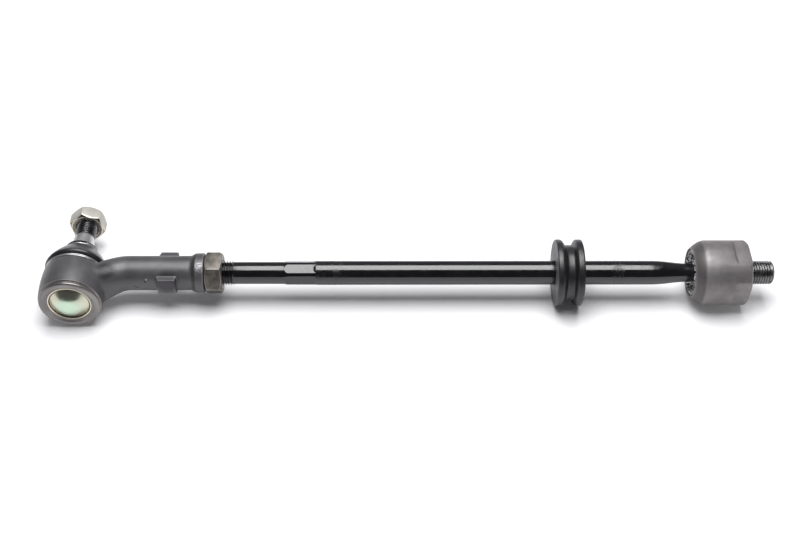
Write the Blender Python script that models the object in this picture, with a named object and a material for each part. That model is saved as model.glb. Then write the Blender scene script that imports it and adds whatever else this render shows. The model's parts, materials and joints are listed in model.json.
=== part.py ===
"""Steering tie rod: cranked outer ball joint, adjustable rod, rubber boot seat and inner axial joint.

Run with blender --background --python part.py, or from Blender's text editor. Metres, +Z up.
+X runs along the rod from the outer joint to the inner one, +Y is the way the tapered stud points.
The part lies as it does on a table: outer housing and rubber ring touch Z = 0.
"""
import math

import bmesh
import bpy
from mathutils import Vector

MM = 0.001
GAP = 0.3 * MM
FINE = 56
ROUND = 40
HIDDEN = 32

# Layout: stations along the rod are counted from the outer ball's centre
CENTRE_DISTANCE = 369.0 * MM
CRANK = 12.0 * MM
REACH_LEFT = 18.5 * MM

# Outer ball joint, heights counted along the stud from the ball's centre
HOUSING_R = REACH_LEFT
COVER_END_FALL = 0.7 * MM
BOOT_END_FALL = 0.5 * MM
HOUSING_COVER_END = -10.5 * MM
HOUSING_BOOT_END = 8.8 * MM
ROLLED_LIP_END = -14.0 * MM
ROLLED_LIP_CREST_R = 13.1 * MM
ROLLED_LIP_R = 12.3 * MM
ROLL_FACE = 2.4 * MM
ROLL_FALL = 0.5 * MM
ROLL_ROUND = 1.6 * MM
ROLL_STEP = 0.5 * MM
ROLL_GROOVE = 0.9 * MM
BOOT_LEDGE = 2.4 * MM
BOOT_NECK_END = 13.0 * MM
NECK_WALL = 3.1 * MM
MOUTH_THROAT_R = 10.2 * MM
MOUTH_THROAT = 8.0 * MM
BALL_R = 11.0 * MM
BALL_FLAT = -8.9 * MM
SEAT_WALL = 1.6 * MM
SEAT_TOP = 6.4 * MM
SEAT_FLOOR = 0.7 * MM
SEAT_OPENING = math.radians(38.0)
COVER_SHEET = 1.1 * MM
COVER_RIM_R = 11.8 * MM
COVER_RIM_RISE = 0.8 * MM
COVER_RIM_WIDTH = 1.0 * MM
COVER_DOME_RISE = 4.4 * MM
COVER_FLAT_R = 4.0 * MM
COVER_FLANK = math.radians(46.0)

# Ball stud
STUD_NECK_R = 5.6 * MM
STUD_NECK_END = 18.0 * MM
STUD_SEAT_R = 6.7 * MM
STUD_SEAT_START = 24.0 * MM
STUD_TAPER_START = 32.0 * MM
STUD_THREAD_R = 6.0 * MM
STUD_THREAD_START = 42.0 * MM
STUD_END = 63.0 * MM
STUD_BEYOND_NUT = 2.8 * MM
STUD_NUT_AF = 19.0 * MM
STUD_NUT_HEIGHT = 9.6 * MM
STUD_NUT_TURN = math.radians(40.4)

# Rubber boot and its two wire rings
BOOT_WALL = 1.4 * MM
BOOT_BULGE = 1.65 * MM
BOOT_BELLY = 14.4 * MM
BOOT_SHOULDER_R = 10.2 * MM
BOOT_SHOULDER = 27.0 * MM
BOOT_GROOVE_R = 8.9 * MM
BOOT_STEP = 0.3 * MM
BOOT_LIP_R = 9.5 * MM
BOOT_LIP = 0.8 * MM
BOOT_SKIRT_WALL = 0.85 * MM
BOOT_FULLNESS = 1.7
BOOT_CLEARANCE = 0.7 * MM
LOWER_WIRE = 0.8 * MM
LOWER_TURNS = 1.9
UPPER_WIRE = 0.8 * MM
UPPER_TURNS = 1.4
WIRE_PITCH = 1.2

# Arm, threaded shank and its spanner pads
SHANK_R = 10.0 * MM
SHANK_START = 31.0 * MM
ARM_START = 8.0 * MM
ARM_SECTIONS = 11
ARM_ROOT_GROWTH = 9.0 * MM
SHANK_LENGTH = 36.5 * MM
COLLAR_R = 11.5 * MM
COLLAR_CHAMFER = 1.9 * MM
COLLAR_LENGTH = 5.3 * MM
COLLAR_EDGE = 0.5 * MM
PAD_START = 47.4 * MM
PAD_LENGTH = 12.0 * MM
PAD_WIDTH = 11.0 * MM
PAD_REACH = 12.0 * MM
PAD_SLOPE = 1.2 * MM

# Rod
THREAD_R = 7.0 * MM
THREAD_INSIDE = 29.0 * MM
THREAD_OUTSIDE = 7.1 * MM
THREAD_SPARE = 6.5 * MM
THREAD_CHAMFER = 1.0 * MM
THREAD_RUN_OUT = 0.6 * MM
DRILL_TIP = 4.0 * MM
BLANK_R = 6.45 * MM
NUT_COUNTERSINK = 0.8 * MM
NUT_FACE_SHARE = 0.95
HEX_AF = 13.0 * MM
HEX_START = 120.0 * MM
HEX_LENGTH = 15.5 * MM
HEX_SHOULDER = 3.0 * MM
HEX_RUN_OUT = 2.6 * MM
HEX_TURN = math.radians(54.3)
BODY_R = 7.0 * MM
TAPER_START = 338.4 * MM
TAPER_LENGTH = 13.0 * MM
ROD_NECK_R = 5.4 * MM
JAM_NUT_AF = 22.0 * MM
JAM_NUT_WIDTH = 10.0 * MM
JAM_NUT_TURN = math.radians(5.8)

# Rubber ring that seats the steering gear's bellows
RING_START = 277.4 * MM
RING_R = 19.4 * MM
RING_GROOVE_R = 16.1 * MM
RING_LEFT_DISC = 3.6 * MM
RING_LEFT_WALL = 2.4 * MM
RING_GROOVE = 4.0 * MM
RING_RIGHT_WALL = 1.6 * MM
RING_RIGHT_DISC = 3.9 * MM
RING_EDGE = 0.8 * MM

# Inner axial joint, stations counted from the inner ball's centre
INNER_BALL_R = 12.0 * MM
INNER_RIM = -12.2 * MM
INNER_RIM_R = 13.8 * MM
INNER_RIM_WALL = 0.6 * MM
INNER_SHOULDER = 7.8 * MM
SHOULDER_FULLNESS = 1.6
INNER_HOUSING_R = 18.9 * MM
INNER_CAVITY_R = 14.8 * MM
INNER_FACE = 19.9 * MM
INNER_EDGE = 1.2 * MM
INNER_SEAT_WALL = 1.7 * MM
INNER_NOSE_R = 12.3 * MM
INNER_NOSE_INSET = 0.5 * MM
INNER_LIP = 3.2 * MM
INNER_SEAT_THROAT = math.radians(51.5)
REAR_SEAT_SPREAD = math.radians(70.0)
FLATS_AF = 33.2 * MM
FLATS_LENGTH = 8.5 * MM
FLATS_TURN = math.radians(48.0)
INNER_STUD_R = 6.9 * MM
INNER_STUD_LENGTH = 15.9 * MM
THREAD_POINT = 1.2 * MM

# Sizes and places worked out from the values above
REACH_RIGHT = CENTRE_DISTANCE + INNER_FACE + INNER_STUD_LENGTH
ORIGIN_STATION = (REACH_RIGHT - REACH_LEFT) / 2
SEAT_BOTTOM = BALL_FLAT - GAP - SEAT_FLOOR
COVER_INNER_FACE = SEAT_BOTTOM - GAP
COVER_OUTER_FACE = COVER_INNER_FACE - COVER_SHEET
REACH_FRONT = COVER_OUTER_FACE - COVER_DOME_RISE - CRANK
REACH_BACK = STUD_END - CRANK
ROD_Y = -(REACH_FRONT + REACH_BACK) / 2
ROD_Z = RING_R
ROD_ORIGIN = Vector((-ORIGIN_STATION, ROD_Y, ROD_Z))
BALL_DROP = RING_R - HOUSING_R
OUTER_BALL = ROD_ORIGIN + Vector((0, -CRANK, -BALL_DROP))
INNER_BALL = ROD_ORIGIN + Vector((CENTRE_DISTANCE, 0, 0))
HOUSING_COVER_END_R = HOUSING_R - COVER_END_FALL
HOUSING_BOOT_END_R = HOUSING_R - BOOT_END_FALL
BOOT_NECK_R = HOUSING_BOOT_END_R - BOOT_LEDGE
MOUTH_R = BOOT_NECK_R - NECK_WALL
BOOT_SKIRT_R = BOOT_NECK_R + GAP + BOOT_SKIRT_WALL
BOOT_R = BOOT_SKIRT_R + BOOT_BULGE
SEAT_INNER_R = BALL_R + GAP
SEAT_OUTER_R = SEAT_INNER_R + SEAT_WALL
CAVITY_R = SEAT_OUTER_R + GAP
LIP_INNER_FACE = COVER_OUTER_FACE - GAP
ROLL_R = HOUSING_COVER_END_R - ROLL_STEP
BOOT_SKIRT_START = HOUSING_BOOT_END + GAP
LOWER_COIL = LOWER_WIRE * (1 + WIRE_PITCH * LOWER_TURNS)
BOOT_SKIRT_END = BOOT_SKIRT_START + LOWER_COIL + 2 * GAP
UPPER_COIL = UPPER_WIRE * (1 + WIRE_PITCH * UPPER_TURNS)
BOOT_GROOVE_START = BOOT_SHOULDER + BOOT_STEP
BOOT_GROOVE_END = BOOT_GROOVE_START + UPPER_COIL + 2 * GAP
BOOT_TOP = BOOT_GROOVE_END + BOOT_LIP
SHANK_END = SHANK_START + SHANK_LENGTH
COLLAR_START = SHANK_END + COLLAR_CHAMFER
COLLAR_END = COLLAR_START + COLLAR_LENGTH
JAM_NUT_START = COLLAR_END + GAP
JAM_NUT_END = JAM_NUT_START + JAM_NUT_WIDTH
THREAD_START = COLLAR_END - THREAD_INSIDE
THREAD_END = JAM_NUT_END + THREAD_OUTSIDE
THREAD_BORE_R = THREAD_R + GAP
HEX_END = HEX_START + HEX_LENGTH
TAPER_END = TAPER_START + TAPER_LENGTH
STUD_NUT_END = STUD_END - STUD_BEYOND_NUT
STUD_NUT_START = STUD_NUT_END - STUD_NUT_HEIGHT
INNER_SEAT_INNER_R = INNER_BALL_R + GAP
REAR_SEAT_R = INNER_SEAT_INNER_R + INNER_SEAT_WALL
REAR_CAVITY_R = REAR_SEAT_R + GAP
INNER_LIP_BACK = INNER_RIM + INNER_LIP


def clear_scene():
    for old in list(bpy.data.objects):
        bpy.data.objects.remove(old, do_unlink=True)


def material(name, colour, roughness, metallic):
    made = bpy.data.materials.new(name)
    made.use_nodes = True
    shader = made.node_tree.nodes["Principled BSDF"]
    shader.inputs["Base Color"].default_value = (*colour, 1.0)
    shader.inputs["Roughness"].default_value = roughness
    shader.inputs["Metallic"].default_value = metallic
    return made


def place(name, mesh, location, finish):
    made = bpy.data.objects.new(name, mesh)
    made.location = location
    bpy.context.scene.collection.objects.link(made)
    if finish:
        mesh.materials.append(finish)
        mesh.shade_smooth()
        mesh.set_sharp_from_angle(angle=math.radians(30))
    else:
        made.hide_render = True
        made.display_type = "WIRE"
    return made


def arc(centre, radius, start, end, steps):
    """Points (station, radius) on an arc about a point of the axis; angles from the -station side."""
    points = []
    for k in range(steps + 1):
        angle = start + (end - start) * k / steps
        points.append((centre - radius * math.cos(angle), radius * math.sin(angle)))
    return points


def turned(name, profile, axis, location, finish=None, facets=ROUND):
    """A turned solid: a closed outline of (station, radius) points spun about the X or Y axis."""
    shape = bmesh.new()
    if axis == "X":
        points = [shape.verts.new((s, 0, r)) for s, r in profile]
        turn_axis = (1, 0, 0)
    else:
        points = [shape.verts.new((r, s, 0)) for s, r in profile]
        turn_axis = (0, 1, 0)
    edges = []
    for k, point in enumerate(points):
        after = points[(k + 1) % len(points)]
        on_axis = abs(profile[k][1]) < 1e-9 and abs(profile[(k + 1) % len(points)][1]) < 1e-9
        if not on_axis:
            edges.append(shape.edges.new((point, after)))
    bmesh.ops.spin(
        shape, geom=points + edges, cent=(0, 0, 0), axis=turn_axis,
        angle=math.tau, steps=facets, use_duplicate=False,
    )
    bmesh.ops.remove_doubles(shape, verts=shape.verts, dist=1e-6)
    bmesh.ops.recalc_face_normals(shape, faces=shape.faces)
    mesh = bpy.data.meshes.new(name)
    shape.to_mesh(mesh)
    shape.free()
    return place(name, mesh, location, finish)


def tube(name, rings, location, finish=None):
    """A closed solid from rings of points, each ring joined to the next and both ends capped."""
    shape = bmesh.new()
    made = [[shape.verts.new(point) for point in ring] for ring in rings]
    for one, two in zip(made, made[1:]):
        for k in range(len(one)):
            n = (k + 1) % len(one)
            shape.faces.new((one[k], one[n], two[n], two[k]))
    shape.faces.new(made[0])
    shape.faces.new(made[-1])
    bmesh.ops.recalc_face_normals(shape, faces=shape.faces)
    mesh = bpy.data.meshes.new(name)
    shape.to_mesh(mesh)
    shape.free()
    return place(name, mesh, location, finish)


def prism(name, sides, across_flats, start, end, turn, axis, location):
    """A cutter: a regular prism along X or Y whose corners start at the angle turn."""
    corner_r = across_flats / 2 / math.cos(math.pi / sides)
    rings = []
    for station in (start, end):
        ring = []
        for k in range(sides):
            angle = turn + math.tau * k / sides
            u, v = corner_r * math.cos(angle), corner_r * math.sin(angle)
            ring.append((station, u, v) if axis == "X" else (u, station, v))
        rings.append(ring)
    return tube(name, rings, location)


def combine(target, tool, operation):
    step = target.modifiers.new(tool.name, "BOOLEAN")
    step.operation = operation
    step.solver = "EXACT"
    step.object = tool


def hex_nut(name, across_flats, start, end, bore_r, turn, axis, location, finish):
    """A plain nut: a turned blank with 30 degree chamfers and a countersunk bore, kept inside a prism."""
    corner_r = across_flats / math.sqrt(3) + GAP
    face_r = across_flats / 2 * NUT_FACE_SHARE
    fall = (corner_r - face_r) * math.tan(math.radians(30))
    sink = NUT_COUNTERSINK
    profile = [
        (start, bore_r + sink), (start, face_r), (start + fall, corner_r),
        (end - fall, corner_r), (end, face_r), (end, bore_r + sink),
        (end - sink, bore_r), (start + sink, bore_r),
    ]
    nut = turned(name, profile, axis, location, finish)
    hexagon = prism(name + "_hexagon", 6, across_flats, start - GAP, end + GAP, turn, axis, location)
    combine(nut, hexagon, "INTERSECT")
    return nut


def wire_coil(name, inner_r, wire, turns, start, first_angle, finish):
    """A spring ring of round wire, its turns wound side by side about the stud's axis."""
    steps = round(turns * HIDDEN)
    sides = 6
    rings = []
    for k in range(steps + 1):
        angle = first_angle + math.tau * turns * k / steps
        height = start + wire / 2 + wire * WIRE_PITCH * turns * k / steps
        ring = []
        for j in range(sides):
            lean = math.tau * j / sides
            r = inner_r + wire / 2 * (1 + math.cos(lean))
            y = height + wire / 2 * math.sin(lean)
            ring.append((r * math.cos(angle), y, r * math.sin(angle)))
        rings.append(ring)
    return tube(name, rings, OUTER_BALL, finish)


def ball_angle(ball_r, neck_r):
    """The angle at a ball's centre between its axis and the circle where the neck leaves it."""
    return math.asin(neck_r / ball_r)


def crown(end, end_r):
    """Half of the barrel's crowned outline, from its widest section to the section at end."""
    steps = 4
    points = []
    for k in range(steps + 1):
        share = k / steps
        points.append((end * share, HOUSING_R - (HOUSING_R - end_r) * share ** 2))
    return points


def ball_barrel(finish):
    """The barrel round the ball, with the rolled rim at one end and the boot's neck at the other."""
    profile = [
        (ROLLED_LIP_END, 0), (ROLLED_LIP_END, ROLLED_LIP_CREST_R),
        (ROLLED_LIP_END + ROLL_FALL, ROLLED_LIP_CREST_R + ROLL_FACE),
        (ROLLED_LIP_END + ROLL_ROUND * 0.55, ROLL_R - ROLL_ROUND * 0.4),
        (ROLLED_LIP_END + ROLL_ROUND, ROLL_R), (HOUSING_COVER_END - ROLL_GROOVE, ROLL_R),
        (HOUSING_COVER_END, HOUSING_COVER_END_R - ROLL_GROOVE),
    ]
    profile += list(reversed(crown(HOUSING_COVER_END, HOUSING_COVER_END_R)))
    profile += crown(HOUSING_BOOT_END, HOUSING_BOOT_END_R)[1:]
    profile += [(HOUSING_BOOT_END, BOOT_NECK_R), (BOOT_NECK_END, BOOT_NECK_R), (BOOT_NECK_END, 0)]
    return turned("rod_end_housing", profile, "Y", OUTER_BALL, finish, FINE)


def housing_cavity():
    """Cut from the cover's side: rolled lip, cover recess, seat bore, throat and flared mouth."""
    profile = [
        (ROLLED_LIP_END - GAP, 0), (ROLLED_LIP_END - GAP, ROLLED_LIP_R),
        (LIP_INNER_FACE, ROLLED_LIP_R), (LIP_INNER_FACE, CAVITY_R),
        (SEAT_TOP + GAP, CAVITY_R), (MOUTH_THROAT, MOUTH_THROAT_R),
        (BOOT_NECK_END, MOUTH_R), (BOOT_NECK_END + GAP, MOUTH_R), (BOOT_NECK_END + GAP, 0),
    ]
    return turned("housing_cavity", profile, "Y", OUTER_BALL)


def boot_relief():
    """Turned away round the boot's neck, so that the arm's shoulder stays clear of the boot."""
    top = SHANK_START
    relief_r = BOOT_R + BOOT_CLEARANCE
    profile = [
        (BOOT_NECK_END, 0), (BOOT_NECK_END, BOOT_NECK_R), (HOUSING_BOOT_END, BOOT_NECK_R),
        (HOUSING_BOOT_END, relief_r), (top, relief_r), (top, 0),
    ]
    return turned("boot_relief", profile, "Y", OUTER_BALL)


def section(centre, along, half_width, half_height):
    """One ring of points square to the direction along: half_width sideways and half_height up."""
    side = Vector((0, 0, 1)).cross(along).normalized()
    up = along.cross(side)
    ring = []
    for k in range(ROUND):
        angle = math.tau * k / ROUND
        ring.append(centre + side * half_width * math.cos(angle) + up * half_height * math.sin(angle))
    return ring


def arm_and_shank():
    """One forging: an S-shaped arm that is tallest at the barrel, the round shank and its collar."""
    rings = []
    first = ARM_START / SHANK_START
    for i in range(ARM_SECTIONS):
        t = first + (1 - first) * i / (ARM_SECTIONS - 1)
        ease = t * t * (3 - 2 * t)
        slope = 6 * t * (1 - t) / SHANK_START
        centre = Vector((SHANK_START * t, -CRANK * (1 - ease), -BALL_DROP * (1 - ease)))
        along = Vector((1, CRANK * slope, BALL_DROP * slope)).normalized()
        rings.append(section(centre, along, SHANK_R, SHANK_R + ARM_ROOT_GROWTH * (1 - t) ** 2))
    straight = (
        (SHANK_END, SHANK_R), (COLLAR_START, COLLAR_R),
        (COLLAR_END - COLLAR_EDGE, COLLAR_R), (COLLAR_END, COLLAR_R - COLLAR_EDGE),
    )
    for station, radius in straight:
        rings.append(section(Vector((station, 0, 0)), Vector((1, 0, 0)), radius, radius))
    return tube("arm_and_shank", rings, ROD_ORIGIN)


def shank_bore():
    bottom = THREAD_START - THREAD_SPARE - GAP
    profile = [
        (bottom - DRILL_TIP, 0), (bottom, THREAD_BORE_R),
        (COLLAR_END - THREAD_CHAMFER, THREAD_BORE_R),
        (COLLAR_END + GAP, THREAD_BORE_R + THREAD_CHAMFER + GAP), (COLLAR_END + GAP, 0),
    ]
    return turned("shank_bore", profile, "X", ROD_ORIGIN)


def spanner_pad(name, way):
    """One forged pad on the shank's side, wider at its root than at its face."""
    root = (SHANK_R + THREAD_BORE_R) / 2
    rings = []
    for reach, slope in ((root, 0.0), (PAD_REACH, PAD_SLOPE)):
        low, high = PAD_START + slope, PAD_START + PAD_LENGTH - slope
        half = PAD_WIDTH / 2 - slope * 0.4
        corners = ((low, -half), (high, -half), (high, half), (low, half))
        rings.append([(x, way * reach, z) for x, z in corners])
    return tube(name, rings, ROD_ORIGIN)


def rod_end_housing(finish):
    housing = ball_barrel(finish)
    combine(housing, arm_and_shank(), "UNION")
    combine(housing, spanner_pad("front_pad", -1), "UNION")
    combine(housing, spanner_pad("back_pad", 1), "UNION")
    combine(housing, boot_relief(), "DIFFERENCE")
    combine(housing, housing_cavity(), "DIFFERENCE")
    combine(housing, shank_bore(), "DIFFERENCE")
    return housing


def outer_ball_seat(finish):
    """Plastic shell round the ball, held in the housing by the cover and open below the ball's flat."""
    open_angle = math.acos(SEAT_TOP / SEAT_INNER_R)
    inner = arc(0, SEAT_INNER_R, SEAT_OPENING, math.pi - open_angle, 12)
    profile = [(SEAT_BOTTOM, inner[0][1]), (SEAT_BOTTOM, SEAT_OUTER_R), (SEAT_TOP, SEAT_OUTER_R)]
    profile += list(reversed(inner))
    return turned("outer_ball_seat", profile, "Y", OUTER_BALL, finish, HIDDEN)


def cover_dome(groove_r, face):
    """From the groove up a straight flank, round an arc and over a flat middle to the axis."""
    lean = math.tan(COVER_FLANK)
    short = (groove_r - COVER_FLAT_R) * lean - COVER_DOME_RISE
    round_r = short / (math.sin(COVER_FLANK) * lean - 1 + math.cos(COVER_FLANK))
    top = face - COVER_DOME_RISE
    points = []
    steps = 5
    for k in range(steps + 1):
        angle = COVER_FLANK * (1 - k / steps)
        points.append((top + round_r * (1 - math.cos(angle)), COVER_FLAT_R + round_r * math.sin(angle)))
    return points + [(top, 0)]


def cover_plate(finish):
    """Pressed sheet under the rolled rim: flat flange, raised rim, groove and a dome."""
    flange_r = CAVITY_R - GAP
    face = COVER_OUTER_FACE
    back = COVER_INNER_FACE
    groove_r = COVER_RIM_R - COVER_RIM_WIDTH
    crest = face - COVER_RIM_RISE
    dome = cover_dome(groove_r, face)
    inside = []
    for k, (station, radius) in enumerate(dome[:-1]):
        angle = COVER_FLANK * (1 - k / (len(dome) - 2))
        inside.append((station + COVER_SHEET * math.cos(angle), radius - COVER_SHEET * math.sin(angle)))
    inside.append((dome[-1][0] + COVER_SHEET, 0))
    foot_r = inside[0][1] + (back - inside[0][0]) / math.tan(COVER_FLANK)
    profile = [
        (back, flange_r), (face, flange_r), (face, COVER_RIM_R + COVER_RIM_WIDTH * 0.3),
        (crest, COVER_RIM_R), (crest, COVER_RIM_R - COVER_RIM_WIDTH * 0.4), (face, groove_r),
    ]
    profile += dome + list(reversed(inside)) + [(back, foot_r)]
    return turned("cover_plate", profile, "Y", OUTER_BALL, finish)


def ball_stud(finish):
    neck_angle = ball_angle(BALL_R, STUD_NECK_R)
    flat_angle = math.acos(-BALL_FLAT / BALL_R)
    profile = [(BALL_FLAT, 0)] + arc(0, BALL_R, flat_angle, math.pi - neck_angle, 16)
    profile += [
        (STUD_NECK_END, STUD_NECK_R), (STUD_SEAT_START, STUD_SEAT_R),
        (STUD_TAPER_START, STUD_SEAT_R), (STUD_THREAD_START, STUD_THREAD_R),
        (STUD_END - THREAD_CHAMFER, STUD_THREAD_R),
        (STUD_END, STUD_THREAD_R - THREAD_CHAMFER), (STUD_END, 0),
    ]
    return turned("ball_stud", profile, "Y", OUTER_BALL, finish)


def boot_outline():
    """The boot's outer outline from its skirt over the belly to the shoulder under the upper ring."""
    points = [(BOOT_SKIRT_START, BOOT_SKIRT_R), (BOOT_SKIRT_END, BOOT_SKIRT_R)]
    steps = 8
    for k in range(steps + 1):
        angle = math.pi / 2 * k / steps
        out = math.cos(angle) ** BOOT_FULLNESS
        along = math.sin(angle) ** BOOT_FULLNESS
        points.append((
            BOOT_BELLY + (BOOT_SHOULDER - BOOT_BELLY) * along,
            BOOT_SHOULDER_R + (BOOT_R - BOOT_SHOULDER_R) * out,
        ))
    return points


def dust_boot(finish):
    """One rubber moulding: skirt on the housing's neck, full belly and a grooved lip on the stud."""
    outer = boot_outline()
    lip_r = STUD_SEAT_R + GAP
    top = [
        (BOOT_GROOVE_START, BOOT_GROOVE_R), (BOOT_GROOVE_END, BOOT_GROOVE_R),
        (BOOT_GROOVE_END, BOOT_LIP_R), (BOOT_TOP, BOOT_LIP_R - BOOT_STEP),
        (BOOT_TOP, lip_r), (BOOT_SHOULDER - BOOT_WALL, lip_r),
    ]
    inner = []
    for (s, r), (s2, r2) in zip(outer[2:-1], outer[3:]):
        run, rise = s2 - s, r2 - r
        length = math.hypot(run, rise)
        inner.append(((s + s2) / 2 + rise / length * BOOT_WALL, (r + r2) / 2 - run / length * BOOT_WALL))
    skirt_inner = BOOT_NECK_R + GAP
    bottom = [(BOOT_NECK_END + 2 * GAP, skirt_inner), (BOOT_SKIRT_START, skirt_inner)]
    profile = outer + top + list(reversed(inner)) + bottom
    return turned("dust_boot", profile, "Y", OUTER_BALL, finish)


def boot_lower_ring(finish):
    start = BOOT_SKIRT_START + GAP
    turn = math.radians(12)
    return wire_coil(
        "boot_lower_ring", BOOT_SKIRT_R + GAP, LOWER_WIRE, LOWER_TURNS, start, turn, finish,
    )


def boot_upper_ring(finish):
    start = BOOT_GROOVE_START + GAP
    turn = math.radians(-10)
    return wire_coil(
        "boot_upper_ring", BOOT_GROOVE_R + GAP, UPPER_WIRE, UPPER_TURNS, start, turn, finish,
    )


def stud_nut(finish):
    bore_r = STUD_THREAD_R + GAP
    return hex_nut(
        "stud_nut", STUD_NUT_AF, STUD_NUT_START, STUD_NUT_END, bore_r,
        STUD_NUT_TURN, "Y", OUTER_BALL, finish,
    )


def jam_nut(finish):
    return hex_nut(
        "jam_nut", JAM_NUT_AF, JAM_NUT_START, JAM_NUT_END, THREAD_BORE_R,
        JAM_NUT_TURN, "X", ROD_ORIGIN, finish,
    )


def hex_flats_cutter():
    """Takes the rod's round down to a hexagon; its flats run out along a cone at the far end."""
    flat = HEX_AF / 2
    reach = BODY_R + 1.0 * MM
    depth = flat - 0.2 * MM
    slope = HEX_RUN_OUT / (BODY_R - flat)
    near = HEX_START - HEX_SHOULDER
    far = HEX_END + (reach - flat) * slope
    foot = HEX_END - (flat - depth) * slope
    profile = [(near, 0), (near, reach), (far, reach), (foot, depth), (foot, 0)]
    cutter = turned("hex_flats_cutter", profile, "X", ROD_ORIGIN)
    core = prism("hex_core", 6, HEX_AF, near - GAP, far + GAP, HEX_TURN + math.pi / 6, "X", ROD_ORIGIN)
    combine(cutter, core, "DIFFERENCE")
    return cutter


def tie_rod(finish):
    """Threaded end, blank, spanner hexagon, body, tapered neck and the inner ball, in one forging."""
    neck_angle = ball_angle(INNER_BALL_R, ROD_NECK_R)
    ball = arc(CENTRE_DISTANCE, INNER_BALL_R, neck_angle, math.pi, 18)
    profile = [
        (THREAD_START, 0), (THREAD_START, THREAD_R - THREAD_CHAMFER),
        (THREAD_START + THREAD_CHAMFER, THREAD_R), (THREAD_END, THREAD_R),
        (THREAD_END + THREAD_RUN_OUT, BLANK_R), (HEX_START, BLANK_R),
        (HEX_START + HEX_SHOULDER, BODY_R), (TAPER_START, BODY_R), (TAPER_END, ROD_NECK_R),
    ]
    rod = turned("tie_rod", profile + ball, "X", ROD_ORIGIN, finish)
    combine(rod, hex_flats_cutter(), "DIFFERENCE")
    return rod


def boot_seat_ring(finish):
    """Rubber ring on the rod with the groove that the bellows' small end snaps into."""
    bore_r = BODY_R + GAP
    groove_start = RING_START + RING_LEFT_DISC + RING_LEFT_WALL
    groove_end = groove_start + RING_GROOVE
    right_start = groove_end + RING_RIGHT_WALL
    right_end = right_start + RING_RIGHT_DISC
    profile = [
        (RING_START, bore_r), (RING_START, RING_R - RING_EDGE), (RING_START + RING_EDGE, RING_R),
        (RING_START + RING_LEFT_DISC, RING_R), (groove_start, RING_GROOVE_R),
        (groove_end, RING_GROOVE_R), (right_start, RING_R), (right_end - RING_EDGE, RING_R),
        (right_end, RING_R - RING_EDGE), (right_end, bore_r),
    ]
    return turned("boot_seat_ring", profile, "X", ROD_ORIGIN, finish)


def wrench_flats_cutter():
    start = INNER_FACE - FLATS_LENGTH
    reach = INNER_HOUSING_R + 1.0 * MM
    profile = [(start, 0), (start, reach), (INNER_FACE + GAP, reach), (INNER_FACE + GAP, 0)]
    cutter = turned("wrench_flats_cutter", profile, "X", INNER_BALL)
    core = prism(
        "wrench_core", 4, FLATS_AF, start - GAP, INNER_FACE + 2 * GAP, FLATS_TURN, "X", INNER_BALL,
    )
    combine(cutter, core, "DIFFERENCE")
    return cutter


def inner_housing(finish):
    """Turned cup with a rolled rim, four wrench flats and the threaded stud for the steering rack."""
    rim_outer_r = INNER_RIM_R + INNER_RIM_WALL
    shoulder = []
    steps = 8
    for k in range(steps + 1):
        along = k / steps
        short = (INNER_HOUSING_R - rim_outer_r) * (1 - along) ** SHOULDER_FULLNESS
        shoulder.append((INNER_RIM + INNER_SHOULDER * along, INNER_HOUSING_R - short))
    stud_end = INNER_FACE + INNER_STUD_LENGTH
    outside = [
        (INNER_FACE - INNER_EDGE, INNER_HOUSING_R), (INNER_FACE, INNER_HOUSING_R - INNER_EDGE),
        (INNER_FACE, INNER_STUD_R), (stud_end - THREAD_POINT, INNER_STUD_R),
        (stud_end, INNER_STUD_R - THREAD_POINT), (stud_end, 0),
    ]
    cavity = arc(0, REAR_CAVITY_R, math.pi, math.pi / 2, 12)
    mouth = [
        (0, INNER_CAVITY_R), (INNER_LIP_BACK, INNER_CAVITY_R),
        (INNER_LIP_BACK, INNER_RIM_R), (INNER_RIM, INNER_RIM_R),
    ]
    profile = shoulder + outside + cavity + mouth
    cup = turned("inner_housing", profile, "X", INNER_BALL, finish, FINE)
    combine(cup, wrench_flats_cutter(), "DIFFERENCE")
    return cup


def inner_front_seat(finish):
    """Plastic ring that holds the ball from the front, with a flared throat for the rod's neck."""
    nose = INNER_RIM + INNER_NOSE_INSET
    back = -GAP
    inner = arc(0, INNER_SEAT_INNER_R, INNER_SEAT_THROAT, math.acos(GAP / INNER_SEAT_INNER_R), 8)
    profile = inner + [
        (back, INNER_CAVITY_R - GAP), (INNER_LIP_BACK + GAP, INNER_CAVITY_R - GAP),
        (INNER_LIP_BACK + GAP, INNER_RIM_R - GAP), (nose, INNER_RIM_R - GAP), (nose, INNER_NOSE_R),
    ]
    return turned("inner_front_seat", profile, "X", INNER_BALL, finish)


def inner_rear_seat(finish):
    """Plastic cap behind the ball: a shell between two spheres about the ball's centre."""
    spread = REAR_SEAT_SPREAD
    outer = arc(0, REAR_SEAT_R, math.pi, math.pi - spread, 9)
    inner = arc(0, INNER_SEAT_INNER_R, math.pi - spread, math.pi, 9)
    return turned("inner_rear_seat", outer + inner, "X", INNER_BALL, finish, HIDDEN)


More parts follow.
